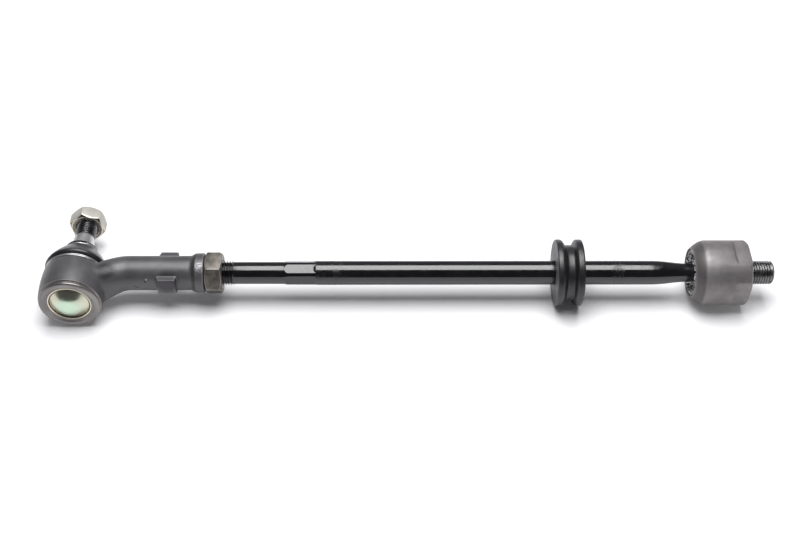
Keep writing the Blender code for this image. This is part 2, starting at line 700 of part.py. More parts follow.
def build():
    clear_scene()
    forging = material("forged_grey", (0.115, 0.115, 0.12), 0.55, 0.6)
    black_paint = material("rod_black", (0.012, 0.012, 0.013), 0.25, 0.3)
    cup_steel = material("cup_steel", (0.24, 0.235, 0.235), 0.5, 0.8)
    olive_zinc = material("olive_zinc", (0.26, 0.25, 0.2), 0.42, 0.9)
    yellow_zinc = material("yellow_zinc", (0.62, 0.68, 0.5), 0.3, 0.9)
    bright_steel = material("bright_steel", (0.62, 0.62, 0.63), 0.25, 1.0)
    rubber = material("rubber", (0.035, 0.035, 0.037), 0.6, 0.0)
    plastic = material("seat_plastic", (0.03, 0.03, 0.03), 0.5, 0.0)
    pale_plastic = material("pale_plastic", (0.75, 0.74, 0.68), 0.45, 0.0)
    rod_end_housing(forging)
    cover_plate(yellow_zinc)
    outer_ball_seat(pale_plastic)
    ball_stud(bright_steel)
    dust_boot(rubber)
    boot_lower_ring(bright_steel)
    boot_upper_ring(bright_steel)
    stud_nut(yellow_zinc)
    jam_nut(olive_zinc)
    tie_rod(black_paint)
    boot_seat_ring(rubber)
    inner_housing(cup_steel)
    inner_front_seat(plastic)
    inner_rear_seat(pale_plastic)


build()
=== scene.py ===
import json
import math

import bmesh
import bpy
import numpy as np
from mathutils import Matrix, Vector


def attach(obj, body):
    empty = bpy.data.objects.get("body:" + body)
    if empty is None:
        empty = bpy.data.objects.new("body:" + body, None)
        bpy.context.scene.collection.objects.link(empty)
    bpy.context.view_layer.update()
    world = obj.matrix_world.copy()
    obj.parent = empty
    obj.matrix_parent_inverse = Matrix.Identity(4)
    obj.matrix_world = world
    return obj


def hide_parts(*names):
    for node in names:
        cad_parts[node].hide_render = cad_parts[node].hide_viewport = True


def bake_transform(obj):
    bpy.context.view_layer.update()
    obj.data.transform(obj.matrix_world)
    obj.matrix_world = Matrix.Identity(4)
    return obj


# %% [markdown]
# # A steering tie rod on a white table
#
# This lesson dresses a finished part: the solids already have their real sizes, and each one
# gets the surface that its making leaves. A tie rod is a good subject because nearly every way
# of making a steel piece meets in it:
#
# - the outer joint's housing is a drop forging, then turned where the boot and the cover go
# - the rod, studs and inner cup are turned, and their threads are rolled or cut
# - the nuts are plated, the boot and the bellows ring are moulded rubber, the seats are plastic
#
# The part's sizes are written in millimetres and become metres where an outline or a material is
# made. The table, the light and the camera are placed in metres. +X runs along the rod and +Y is
# the way the tapered stud points.

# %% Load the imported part
MM = 0.001
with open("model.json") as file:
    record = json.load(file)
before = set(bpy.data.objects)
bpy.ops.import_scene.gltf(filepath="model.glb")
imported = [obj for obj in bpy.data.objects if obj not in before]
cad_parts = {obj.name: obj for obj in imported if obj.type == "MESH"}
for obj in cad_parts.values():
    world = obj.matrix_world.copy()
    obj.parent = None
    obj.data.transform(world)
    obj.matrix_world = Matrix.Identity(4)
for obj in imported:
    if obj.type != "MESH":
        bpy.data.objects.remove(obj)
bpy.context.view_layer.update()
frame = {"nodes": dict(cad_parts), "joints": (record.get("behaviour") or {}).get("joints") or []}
joints = {joint["name"]: joint for joint in frame["joints"]}
ROD = Vector(joints["length_turn"]["pos_m"])
OUTER = Vector(joints["stud_swing"]["pos_m"])
INNER = Vector(joints["inner_spin"]["pos_m"])

# %% [markdown]
# ## Tools for turned pieces
#
# A lathe makes any outline that is spun round an axis, so one function serves for most of the
# part. An outline is a list of (station, radius, rounding): sharp corners are what gives a drawn
# part away, and a real tool or die always leaves a small radius. Every corner is therefore drawn
# as a short curve between its two sides.


# %% Outlines and places
def metres(corners):
    """The same corners with their millimetres turned into metres."""
    return [tuple(value * MM for value in corner) for corner in corners]


def rounded(corners, steps=5):
    """The outline, in metres, with each corner (station, radius, rounding) as a short curve."""
    corners = metres(corners)
    points = []
    for k, (station, radius, rounding) in enumerate(corners):
        here = Vector((station, radius))
        if rounding == 0:
            points.append(here)
            continue
        before = Vector(corners[k - 1][:2]) - here
        after = Vector(corners[(k + 1) % len(corners)][:2]) - here
        first = here + before.normalized() * min(rounding, before.length * 0.48)
        last = here + after.normalized() * min(rounding, after.length * 0.48)
        for j in range(steps + 1):
            t = j / steps
            points.append(first.lerp(here, t).lerp(here.lerp(last, t), t))
    return [(p.x, p.y) for p in points]


def arc(radius, first, last, steps):
    """Corners of an arc about station 0; the angles, in radians, are counted from the low end."""
    corners = []
    for k in range(steps + 1):
        angle = first + (last - first) * k / steps
        corners.append((-radius * math.cos(angle), max(0.0, radius * math.sin(angle)), 0))
    return corners


def at(origin, x=0.0, y=0.0, z=0.0):
    """The point that lies x, y and z millimetres from an origin."""
    return origin + Vector((x * MM, y * MM, z * MM))


def around(axis, centre, station, radius, angle):
    """The point at an angle round an axis through centre, along X or Y; all in metres."""
    u, v = radius * math.cos(angle), radius * math.sin(angle)
    return centre + Vector((station, u, v) if axis == "X" else (u, station, v))


# %% Solids
def shade(mesh, sharp):
    mesh.shade_smooth()
    mesh.set_sharp_from_angle(angle=math.radians(sharp))


def keep(name, shape):
    """Makes an object of a finished bmesh, with its normals outwards."""
    bmesh.ops.recalc_face_normals(shape, faces=shape.faces)
    mesh = bpy.data.meshes.new(name)
    shape.to_mesh(mesh)
    shape.free()
    shade(mesh, 30)
    made = bpy.data.objects.new(name, mesh)
    bpy.context.scene.collection.objects.link(made)
    return made


def lathe(name, outline, axis, centre, facets=128):
    """A closed turned solid: the outline's (station, radius) points spun about X or Y."""
    shape = bmesh.new()
    rings = []
    for station, radius in outline:
        ring = []
        for k in range(facets if radius > 1e-7 else 1):
            angle = math.tau * k / facets
            ring.append(shape.verts.new(around(axis, centre, station, radius, angle)))
        rings.append(ring)
    for one, two in zip(rings, rings[1:] + rings[:1]):
        for k in range(facets):
            n = (k + 1) % facets
            corners = [one[k % len(one)], one[n % len(one)], two[n % len(two)], two[k % len(two)]]
            corners = list(dict.fromkeys(corners))
            if len(corners) > 2:
                shape.faces.new(corners)
    return keep(name, shape)


def bridge(shape, one, two):
    """Joins two rings of points by a band of four-sided faces."""
    for k in range(len(one)):
        n = (k + 1) % len(one)
        shape.faces.new((one[k], one[n], two[n], two[k]))


def loft(name, rings):
    """A closed solid from rings of the same number of points."""
    shape = bmesh.new()
    made = [[shape.verts.new(point) for point in ring] for ring in rings]
    for one, two in zip(made, made[1:]):
        bridge(shape, one, two)
    shape.faces.new(made[0])
    shape.faces.new(made[-1])
    return keep(name, shape)


def hexagon(name, across_flats, start, end, turn, axis, centre):
    """A six-sided bar along X or Y; its first corner is at the angle turn, in degrees."""
    corner = across_flats * MM / 2 / math.cos(math.pi / 6)
    shape = bmesh.new()
    rings = []
    for station in (start * MM, end * MM):
        ring = []
        for k in range(6):
            angle = math.radians(turn) + math.tau * k / 6
            ring.append(shape.verts.new(around(axis, centre, station, corner, angle)))
        rings.append(ring)
        shape.faces.new(ring)
    bridge(shape, *rings)
    return keep(name, shape)


# %% Cuts and edges
def settle(thing, sharp=30):
    """Puts the result of the modifiers into the mesh itself."""
    graph = bpy.context.evaluated_depsgraph_get()
    mesh = bpy.data.meshes.new_from_object(thing.evaluated_get(graph))
    thing.modifiers.clear()
    thing.data = mesh
    shade(mesh, sharp)
    return thing


def cut(thing, tool, operation="DIFFERENCE"):
    """Cuts with a tool and takes the tool away; the cut faces keep the tool's material."""
    step = thing.modifiers.new(tool.name, "BOOLEAN")
    step.operation = operation
    step.solver = "EXACT"
    step.material_mode = "TRANSFER"
    step.object = tool
    settle(thing)
    bpy.data.objects.remove(tool, do_unlink=True)


def soften(thing, width, angle, worn=None):
    """A fine bevel on every sharp edge; worn is the finish that the new narrow faces get."""
    step = thing.modifiers.new("edges", "BEVEL")
    if worn:
        thing.data.materials.append(worn)
        step.material = len(thing.data.materials) - 1
    step.width = width * MM
    step.segments = 2
    step.limit_method = "ANGLE"
    step.angle_limit = math.radians(angle)
    return settle(thing, 40)


# %% [markdown]
# ## Surfaces
#
# Every finish here is procedural, on object coordinates, so it sticks to the piece when a joint
# moves. One function builds the metals. What tells them apart is small: how much the colour
# drifts, how rough the skin is, and how deep the fine bumps go. Roughness that varies from place
# to place does more for a metal than its colour does.


# %% Node functions
def put(tree, kind, inputs=None, **settings):
    """Adds a node, sets its options, and fills its inputs from values or other nodes' sockets."""
    made = tree.nodes.new(kind)
    for key, value in settings.items():
        setattr(made, key, value)
    for key, value in (inputs or {}).items():
        if isinstance(value, bpy.types.NodeSocket):
            tree.links.new(value, made.inputs[key])
        else:
            made.inputs[key].default_value = value
    return made


def maths(tree, operation, first, second=0.0, third=0.0):
    inputs = {0: first, 1: second, 2: third}
    return put(tree, "ShaderNodeMath", inputs, operation=operation).outputs[0]


def place_of(tree):
    return put(tree, "ShaderNodeTexCoord").outputs["Object"]


def parts_of(tree, vector):
    """The X, Y and Z of a vector, as three sockets."""
    return put(tree, "ShaderNodeSeparateXYZ", {0: vector}).outputs


def noise(tree, scale, detail=4, stretch=(1, 1, 1), rough=0.55):
    """Noise on object coordinates, in features of about 1/scale metre."""
    spread = put(tree, "ShaderNodeMapping", {"Vector": place_of(tree), "Scale": stretch})
    return put(tree, "ShaderNodeTexNoise", {
        "Vector": spread.outputs["Vector"], "Scale": scale, "Detail": detail, "Roughness": rough,
    }).outputs["Fac"]


def band(tree, value, low, high, new_low=0.0, new_high=1.0):
    """Stretches a value from one range to another, held at the ends."""
    return put(tree, "ShaderNodeMapRange", {
        "Value": value, "From Min": low, "From Max": high, "To Min": new_low, "To Max": new_high,
    }).outputs["Result"]


def patchy(tree, low, high, scale, detail, stretch=(1, 1, 1)):
    """A value that wanders between two others in soft patches."""
    return band(tree, noise(tree, scale, detail, stretch), 0.3, 0.7, low, high)


def blend_colour(tree, share, one, two):
    """The colour that lies the share of the way from one to two; either may be a socket."""
    mix = put(tree, "ShaderNodeMix", data_type="RGBA")
    for number, value in ((0, share), (6, one), (7, two)):
        if isinstance(value, bpy.types.NodeSocket):
            tree.links.new(value, mix.inputs[number])
        else:
            mix.inputs[number].default_value = value if number == 0 else (*value, 1.0)
    return mix.outputs[2]


def start_material(name):
    made = bpy.data.materials.new(name)
    made.use_nodes = True
    return made, made.node_tree, made.node_tree.nodes["Principled BSDF"]


def dress(tree, shader, colour, roughness, height, depth):
    """Gives a shader its colour, its roughness and its fine bumps, depth millimetres high."""
    bump = put(tree, "ShaderNodeBump", {"Height": height, "Distance": depth * MM})
    tree.links.new(colour, shader.inputs["Base Color"])
    tree.links.new(roughness, shader.inputs["Roughness"])
    tree.links.new(bump.outputs["Normal"], shader.inputs["Normal"])


# %% Metals, rubber, plating and grease
def steel(name, dark, light, roughness, metallic, depth, grain=1500, drift=60,
          stretch=(1, 1, 1), worn=None):
    """A metal skin: slow drift of colour, smoother and rougher patches, fine grain, worn edges."""
    made, tree, shader = start_material(name)
    colour = blend_colour(tree, band(tree, noise(tree, drift, 3), 0.35, 0.65), dark, light)
    if worn:
        edge = put(tree, "ShaderNodeAttribute", attribute_name="wear").outputs["Fac"]
        chips = band(tree, noise(tree, 700, 4), 0.35, 0.6, 0.25, 1.0)
        colour = blend_colour(tree, maths(tree, "MULTIPLY", edge, chips), colour, worn)
    rough = patchy(tree, roughness - 0.06, roughness + 0.06, drift * 4, 4, stretch)
    dress(tree, shader, colour, rough, noise(tree, grain, 5, stretch, 0.65), depth)
    shader.inputs["Metallic"].default_value = metallic
    return made


def moulded(name, dark, light, roughness, depth, grain, drift=90, ior=1.5):
    """Rubber, plastic or paint: nearly even colour, an even skin and a fine grain."""
    made, tree, shader = start_material(name)
    colour = blend_colour(tree, band(tree, noise(tree, drift, 4), 0.35, 0.65), dark, light)
    rough = patchy(tree, roughness - 0.07, roughness + 0.07, 300, 3)
    dress(tree, shader, colour, rough, noise(tree, grain, 4), depth)
    shader.inputs["IOR"].default_value = ior
    return made


MINT, STRAW = (0.51, 0.65, 0.51), (0.55, 0.545, 0.43)
# the first of these two colours is painted shade, a dark line laid along the cover's groove
GROOVE_SHADE, GOLD = (0.06, 0.05, 0.035), (0.8, 0.74, 0.6)
GROOVE_R = 11.3


def plated_cover(name):
    """Passivated zinc: mint in the middle, straw towards the rim, painted shade in the groove."""
    made, tree, shader = start_material(name)
    across, _, up = parts_of(tree, place_of(tree))
    across = maths(tree, "SUBTRACT", across, OUTER.x)
    up = maths(tree, "SUBTRACT", up, OUTER.z)
    squares = maths(tree, "MULTIPLY_ADD", across, across, maths(tree, "MULTIPLY", up, up))
    out = maths(tree, "SQRT", squares)
    wandering = maths(tree, "ADD", out, patchy(tree, -0.9 * MM, 0.9 * MM, 220, 3))
    colour = blend_colour(tree, band(tree, wandering, 4.5 * MM, 9.0 * MM), MINT, STRAW)
    # painted shade: a narrow dark band laid along the groove
    from_groove = maths(tree, "ABSOLUTE", maths(tree, "SUBTRACT", out, GROOVE_R * MM))
    colour = blend_colour(tree, band(tree, from_groove, 0.4 * MM, 0.2 * MM), colour, GROOVE_SHADE)
    colour = blend_colour(tree, band(tree, out, 11.6 * MM, 11.75 * MM), colour, GOLD)
    dress(tree, shader, colour, patchy(tree, 0.2, 0.28, 600, 4), noise(tree, 260, 3), 0.02)
    shader.inputs["Metallic"].default_value = 0.95
    return made


def grease_with_painted_glints(name):
    """Black grease worked into lumps, with pale specks painted on the proudest as glints."""
    made, tree, shader = start_material(name)
    lumps = noise(tree, 850, 2, rough=0.6)
    # painted highlights: the proudest lumps are coloured pale, as glints
    painted_glint = band(tree, lumps, 0.5, 0.56)
    colour = blend_colour(tree, painted_glint, (0.003, 0.003, 0.003), (0.7, 0.7, 0.71))
    dress(tree, shader, colour, patchy(tree, 0.15, 0.3, 500, 3), lumps, 0.5)
    return made


# %% The finishes
forged = steel("forged skin", (0.085, 0.083, 0.088), (0.115, 0.112, 0.118), roughness=0.42,
               metallic=0.4, depth=0.05, worn=(0.19, 0.186, 0.19))
turned_grey = steel("turned lip", (0.18, 0.168, 0.166), (0.27, 0.257, 0.25), roughness=0.34,
                    metallic=0.8, depth=0.02, grain=2200)
black_coat = moulded("black coat", (0.003, 0.0028, 0.0036), (0.007, 0.0065, 0.008),
                     roughness=0.14, depth=0.003, grain=900, drift=60, ior=1.68)
cup_steel = steel("cup steel", (0.18, 0.168, 0.169), (0.255, 0.24, 0.242), roughness=0.5,
                  metallic=0.6, depth=0.04, grain=1800, drift=90, stretch=(0.25, 1, 1))
dark_steel = steel("stud thread steel", (0.16, 0.16, 0.165), (0.26, 0.26, 0.265),
                   roughness=0.26, metallic=1.0, depth=0.01)
thread_steel = steel("cup thread steel", (0.235, 0.23, 0.233), (0.32, 0.315, 0.318),
                     roughness=0.3, metallic=1.0, depth=0.01)
olive_zinc = steel("olive zinc", (0.088, 0.08, 0.069), (0.18, 0.166, 0.147), roughness=0.4,
                   metallic=0.65, depth=0.05, drift=260)
worn_zinc = steel("worn olive zinc", (0.55, 0.53, 0.48), (0.7, 0.68, 0.62), roughness=0.34,
                  metallic=0.8, depth=0.03)
nut_zinc = steel("nut zinc", (0.41, 0.395, 0.36), (0.5, 0.483, 0.44), roughness=0.48,
                 metallic=0.4, depth=0.03, drift=130)
nut_end = steel("nut face", (0.2, 0.175, 0.14), (0.34, 0.31, 0.26), roughness=0.28,
                metallic=1.0, depth=0.03, drift=260)
worn_nut = steel("worn nut zinc", (0.66, 0.63, 0.55), (0.76, 0.73, 0.65), roughness=0.4,
                 metallic=0.7, depth=0.02)
cover_zinc = plated_cover("cover zinc")
bright = steel("bright steel", (0.5, 0.5, 0.51), (0.64, 0.64, 0.65), roughness=0.38,
               metallic=0.9, depth=0.01)
wire_steel = steel("wire steel", (0.42, 0.42, 0.43), (0.56, 0.56, 0.57), roughness=0.36,
                   metallic=0.9, depth=0.01, drift=200)
boot_skin = moulded("boot rubber", (0.012, 0.012, 0.013), (0.022, 0.022, 0.023),
                    roughness=0.33, depth=0.03, grain=1600)
ring_skin = moulded("ring rubber", (0.006, 0.0055, 0.0065), (0.012, 0.011, 0.013),
                    roughness=0.38, depth=0.05, grain=1400, ior=1.6)
ring_face = moulded("ring rubber face", (0.08, 0.076, 0.082), (0.125, 0.12, 0.128),
                    roughness=0.5, depth=0.03, grain=1400)
seat_skin = moulded("pale plastic", (0.66, 0.65, 0.6), (0.75, 0.74, 0.69),
                    roughness=0.42, depth=0.02, grain=1200)
grease = grease_with_painted_glints("grease")
print("finishes:", len(bpy.data.materials))

# %% [markdown]
# ## Marks, painted shade and painted highlights
#
# A finish says how every such part looks. A mark is a soft-edged spot or ring laid over the finish
# at a place that the photo shows, so it costs a few nodes and no texture. Some say what happened
# to
# this one part: a dent, a smudge, a scuffed stretch of paint. Others are painted shade and painted
# highlights, each named where it is laid.


# %% Marks
def mark(material, centre, size, colour, broken_by=0, ring=False):
    """Colours the finish round a place; a ring mark goes round the rod's direction instead."""
    tree = material.node_tree
    base = tree.nodes["Principled BSDF"].inputs["Base Color"]
    before = base.links[0].from_socket
    centre = Vector(centre) * MM
    place = place_of(tree)
    if ring:
        along = parts_of(tree, place)[0]
        far = maths(tree, "ABSOLUTE", maths(tree, "SUBTRACT", along, centre.x))
    else:
        far = put(tree, "ShaderNodeVectorMath", {0: place, 1: centre}, operation="DISTANCE")
        far = far.outputs["Value"]
    share = band(tree, far, size * MM, size * MM * 0.6)
    if broken_by:
        chips = band(tree, noise(tree, broken_by, 3), 0.48, 0.56)
        share = maths(tree, "MULTIPLY", share, chips)
    tree.links.new(blend_colour(tree, share, before, colour), base)


def dull(material, first, last, amount, broken_by):
    """Roughens the finish in patches between two stations along the rod."""
    tree = material.node_tree
    rough = tree.nodes["Principled BSDF"].inputs["Roughness"]
    before = rough.links[0].from_socket
    middle, half = (first + last) / 2 * MM, (last - first) / 2 * MM
    along = parts_of(tree, place_of(tree))[0]
    far = maths(tree, "ABSOLUTE", maths(tree, "SUBTRACT", along, middle))
    share = band(tree, far, half, half * 0.5, 0.0, amount)
    patches = band(tree, noise(tree, broken_by, 4), 0.42, 0.58)
    tree.links.new(maths(tree, "MULTIPLY_ADD", share, patches, before), rough)


def mark_edges(thing, turns=3):
    """Writes how sharply the skin bends outwards into a point attribute named wear, 0 to 1."""
    mesh = thing.data
    spots = np.empty(len(mesh.vertices) * 3)
    mesh.vertices.foreach_get("co", spots)
    spots = spots.reshape(-1, 3)
    normals = np.array([v.normal for v in mesh.vertices])
    ends = np.empty(len(mesh.edges) * 2, dtype=np.int32)
    mesh.edges.foreach_get("vertices", ends)
    one, two = ends[0::2], ends[1::2]

    def gather(from_one, from_two):
        """Adds up, at each point, what the points at the far ends of its edges bring."""
        return np.bincount(one, from_two, len(spots)) + np.bincount(two, from_one, len(spots))

    count = np.bincount(ends, minlength=len(spots)).astype(float)
    lengths = np.linalg.norm(spots[one] - spots[two], axis=1)
    size = gather(lengths, lengths) / count
    middle = np.stack([gather(spots[one, k], spots[two, k]) for k in range(3)], axis=1)
    middle /= count[:, None]
    bend = ((spots - middle) * normals).sum(1) / size ** 2
    for _ in range(turns):
        bend = 0.5 * bend + 0.5 * gather(bend[one], bend[two]) / count
    unworn, worn = 0.03, 0.15  # the bend, per mm, where wear starts and where it is complete
    share = np.clip((bend * MM - unworn) / (worn - unworn), 0, 1)
    layer = mesh.attributes.new("wear", "FLOAT", "POINT")
    layer.data.foreach_set("value", share)
    print(thing.name, "worn share:", round(float(share.mean()), 3))


PALE, DARK = (0.5, 0.5, 0.51), (0.025, 0.024, 0.025)
CUP_SHOULDER = INNER.x / MM - 9.3
# painted shade: a dark ring round the shank where it rises to the collar
mark(forged, (-124.3, 0, 0), 1.4, (0.045, 0.043, 0.046), ring=True)
# painted highlights: pale specks on the collar's top stand for the sparkle of a rough patch
mark(forged, (-120.1, -17.0, 29.5), 3.8, (0.36, 0.35, 0.36), 1500)
# painted shade: a dark spot that dims the highlight on the arm's root
mark(forged, (-173.0, -20.5, 32.0), 7.5, (0.035, 0.033, 0.037))
# painted highlight: a paler spot for a facet at the arm's root that catches the light
mark(forged, (-184.5, -24.0, 30.0), 2.4, (0.14, 0.136, 0.145))
mark(forged, (-139.2, -22.8, 22.8), 8.0, (0.05, 0.047, 0.052))
mark(forged, (-151.8, -21.2, 22.0), 0.8, DARK)
mark(forged, (-151.2, -21.0, 23.2), 0.6, PALE)
mark(forged, (-157.2, -21.5, 17.9), 1.9, DARK, 700)
# painted shade: a dark ring round the cup's shoulder, for the dark room that it reflects
mark(cup_steel, (CUP_SHOULDER, 0, 0), 3.0, (0.12, 0.112, 0.112), ring=True)
dull(black_coat, -61.0, -33.0, 0.16, 260)
dull(black_coat, 116.5, 125.5, 0.22, 900)


# %% Hand a piece over to its body
def wear(thing, body, finish, slot, *nodes):
    """Gives a piece its finish and says which body carries it and which solids it stands for."""
    if not thing.data.materials:
        thing.data.materials.append(finish)
    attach(thing, body)
    if nodes:
        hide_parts(*nodes)
    print(thing.name, "on", body + ":", len(thing.data.polygons), "faces")


# %% [markdown]
# ## Threads by rule
#
# A screw thread repeats once a turn, so it is a good job for Geometry Nodes: a fine tube whose
# radius follows a wave, where the wave's phase is station / pitch - angle / full turn. That one
# difference turns rings into a helix. The wave is clipped top and bottom to give the flat crests
# and roots of a metric thread, and fades to a plain blank at both ends, as a rolled thread does.


# %% Rules
def rule(name, sockets):
    """An empty node group with named number inputs and one geometry output."""
    tree = bpy.data.node_groups.new(name, "GeometryNodeTree")
    for label in sockets:
        tree.interface.new_socket(label, in_out="INPUT", socket_type="NodeSocketFloat")
    tree.interface.new_socket("Geometry", in_out="OUTPUT", socket_type="NodeSocketGeometry")
    return tree, tree.nodes.new("NodeGroupInput"), tree.nodes.new("NodeGroupOutput")


def end_rule(tree, geometry, finish, leave):
    """Every rule ends in the same way: real geometry with its material."""
    real = put(tree, "GeometryNodeRealizeInstances", {"Geometry": geometry})
    inputs = {"Geometry": real.outputs[0], "Material": finish}
    dressed = put(tree, "GeometryNodeSetMaterial", inputs)
    tree.links.new(dressed.outputs[0], leave.inputs[0])


def by_rule(name, tree, values, turn, sharp=30):
    """Runs a rule with its named inputs and keeps the result as a plain mesh."""
    made = bpy.data.objects.new(name, bpy.data.meshes.new(name))
    bpy.context.scene.collection.objects.link(made)
    step = made.modifiers.new("rule", "NODES")
    step.node_group = tree
    for item in tree.interface.items_tree:
        if item.in_out == "INPUT":
            step[item.identifier] = values[item.name]
    settle(made, sharp)
    made.data.transform(turn)
    return made


# %% The thread generator
PITCH = 1.5
THREAD_DEPTH = 0.613 * PITCH
CREST_SHARE, ROOT_SHARE = 0.12, 0.8  # where on the wave the flank leaves crest and meets root
STEPS_A_TURN, FACETS_A_TURN = 16, 96


def thread_rule(name, finish):
    labels = ("Length", "Pitch", "Crest", "Depth", "Blank", "Start fade", "End fade")
    tree, enter, leave = rule(name, labels)
    length, pitch, crest, depth, blank, start_fade, end_fade = enter.outputs[:7]
    along = maths(tree, "MULTIPLY", maths(tree, "DIVIDE", length, pitch), STEPS_A_TURN)
    count = put(tree, "FunctionNodeFloatToInt", {0: along}, rounding_mode="CEILING").outputs[0]
    grid = put(tree, "GeometryNodeMeshGrid", {
        "Size X": 1.0, "Size Y": 1.0, "Vertices X": count, "Vertices Y": FACETS_A_TURN + 1,
    })
    grid_x, grid_y, _ = parts_of(tree, put(tree, "GeometryNodeInputPosition").outputs[0])
    station = maths(tree, "MULTIPLY", maths(tree, "ADD", grid_x, 0.5), length)
    share = maths(tree, "ADD", grid_y, 0.5)
    turns = maths(tree, "DIVIDE", station, pitch)
    phase = maths(tree, "FRACT", maths(tree, "SUBTRACT", turns, share))
    wave = maths(tree, "ABSOLUTE", maths(tree, "MULTIPLY_ADD", phase, 2.0, -1.0))
    drop = maths(tree, "MULTIPLY", band(tree, wave, CREST_SHARE, ROOT_SHARE), depth)
    cut_radius = maths(tree, "SUBTRACT", crest, drop)
    from_start = maths(tree, "MINIMUM", maths(tree, "DIVIDE", station, start_fade), 1.0)
    left = maths(tree, "SUBTRACT", length, station)
    from_end = maths(tree, "MINIMUM", maths(tree, "DIVIDE", left, end_fade), 1.0)
    fade = maths(tree, "MULTIPLY", from_start, from_end)
    above_blank = maths(tree, "SUBTRACT", cut_radius, blank)
    radius = maths(tree, "MULTIPLY_ADD", above_blank, fade, blank)
    angle = maths(tree, "MULTIPLY", share, math.tau)
    place = put(tree, "ShaderNodeCombineXYZ", {
        0: station,
        1: maths(tree, "MULTIPLY", radius, maths(tree, "COSINE", angle)),
        2: maths(tree, "MULTIPLY", radius, maths(tree, "SINE", angle)),
    })
    moved = put(tree, "GeometryNodeSetPosition", {
        "Geometry": grid.outputs[0], "Position": place.outputs[0],
    })
    closed = {"Geometry": moved.outputs[0], "Distance": 1e-6}
    joined = put(tree, "GeometryNodeMergeByDistance", closed)
    end_rule(tree, joined.outputs[0], finish, leave)
    return tree


def thread(name, finish, axis, centre, start, end, crest, blank, start_fade, end_fade):
    """A helical thread between two stations; crest and blank are radii."""
    sizes = {
        "Length": end - start, "Pitch": PITCH, "Crest": crest, "Depth": THREAD_DEPTH,
        "Blank": blank, "Start fade": start_fade, "End fade": end_fade,
    }
    values = {label: size * MM for label, size in sizes.items()}
    foot = at(centre, start) if axis == "X" else at(centre, 0, start)
    lay = Matrix.Translation(foot)
    if axis == "Y":
        lay = lay @ Matrix.Rotation(math.radians(90), 4, "Z")
    return by_rule(name, thread_rule(name, finish), values, lay, 55)


# %% [markdown]
# ## The rod
#
# One bar: the threaded end, a plain blank, a spanner hexagon, the body and a neck that tapers to
# the inner ball. The hexagon is pressed into the round, so its flats end in curved run-outs: a
# bullet shape at one end where the body's radius comes in, and a fishtail at the other.

# %% Turn the rod
ROD_R = 7.0
BLANK_R = 6.45
CORE_R = 6.0
THREAD_END = 92.1
THREAD_SHOWN = 22.0
SHOULDER_START, SHOULDER_END = 120.4, 122.2
TAPER_START, TAPER_END = 338.4, 351.4
BALL_STATION = (INNER - ROD).x / MM
BALL_R = 12.0
NECK_R = 5.4

ball = arc(BALL_R, math.asin(NECK_R / BALL_R), math.pi, 32)
rod = lathe("rod", rounded([
    (45.7, 0, 0), (45.7, 5.0, 0.3), (47.0, CORE_R, 0.3),
    (THREAD_END - 2, CORE_R, 0), (THREAD_END - 1.6, BLANK_R, 0),
    (SHOULDER_START, BLANK_R, 0.5), (SHOULDER_END, ROD_R, 0.5),
    (TAPER_START, ROD_R, 6), (TAPER_END, NECK_R, 5),
] + [(BALL_STATION + station, radius, 0) for station, radius, _ in ball]), "X", ROD, 160)
rod.data.materials.append(black_coat)
print("turned rod:", len(rod.data.polygons), "faces")

# %% Press the hexagon
HEX_AF = 13.0
HEX_START, HEX_END = 117.0, 135.5
HEX_TURN = 84.3
RUN_OUT = 2.6
CLEAR_R = ROD_R + 1
hex_tool = lathe("hex tool", rounded([
    (HEX_START, 0, 0), (HEX_START, CLEAR_R, 0), (HEX_END + 3 * RUN_OUT, CLEAR_R, 0),
    (HEX_END + 0.4 * RUN_OUT, HEX_AF / 2 - 0.05, 2), (HEX_END - 1, 3, 0), (HEX_END - 1, 0, 0),
]), "X", ROD)
cut(hex_tool, hexagon("hex core", HEX_AF, HEX_START - 7, HEX_END + 14.5, HEX_TURN, "X", ROD))
cut(rod, hex_tool)
soften(rod, 0.12, 12)
print("with its hexagon:", len(rod.data.polygons), "faces")

# %% Grease the ball and thread the far end
GREASED = INNER.x - 10.9 * MM
# the ball's faces take the grease, whose pale specks are painted glints
rod.data.materials.append(grease)
for face in rod.data.polygons:
    if face.center.x > GREASED:
        face.material_index = 1
wear(rod, "tie_rod", black_coat, "rod_black", "tie_rod")

rod_thread = thread("rod_thread", black_coat, "X", ROD, THREAD_END - THREAD_SHOWN, THREAD_END,
                    ROD_R, BLANK_R, 0.2, 1.6)
wear(rod_thread, "tie_rod", black_coat, "rod_black")

# %% [markdown]
# ## The outer joint's housing
#
# A forging starts as simple masses that flow into one another, so it is built that way: a crowned
# barrel, an S-shaped arm, a round shank with a collar and two spanner pads. They are joined as
# one skin of small even cells and then relaxed. The relaxing draws a fillet wherever two masses
# meet, with a wide one at the arm's root, and takes the edges off the pads, as worn dies do. The
# lathe comes last: the cover's recess, the boot's neck and the bore are cut crisp into the soft
# shape.

# %% The arm, the shank and the collar
SHANK_R = 10.0
SHANK_START, SHANK_END = 31.0, 67.5
COLLAR_R = 11.5
COLLAR_END = 74.7
ARM_START = 0.26  # share of the way from the barrel's axis to the shank
ARM_STEPS = 24
ROOT_FLARE = 9.0
CRANK, DROP = (ROD - OUTER).y / MM, (ROD - OUTER).z / MM
ALONG_ROD = Vector((1, 0, 0))


def oval(centre, along, width, height, count=72):
    """A ring of points square to a direction; width and height are half sizes."""
    side = Vector((0, 0, 1)).cross(along).normalized()
    up = along.cross(side)
    width, height = width * MM, height * MM
    ring = []
    for k in range(count):
        angle = math.tau * k / count
        ring.append(centre + side * width * math.cos(angle) + up * height * math.sin(angle))
    return ring


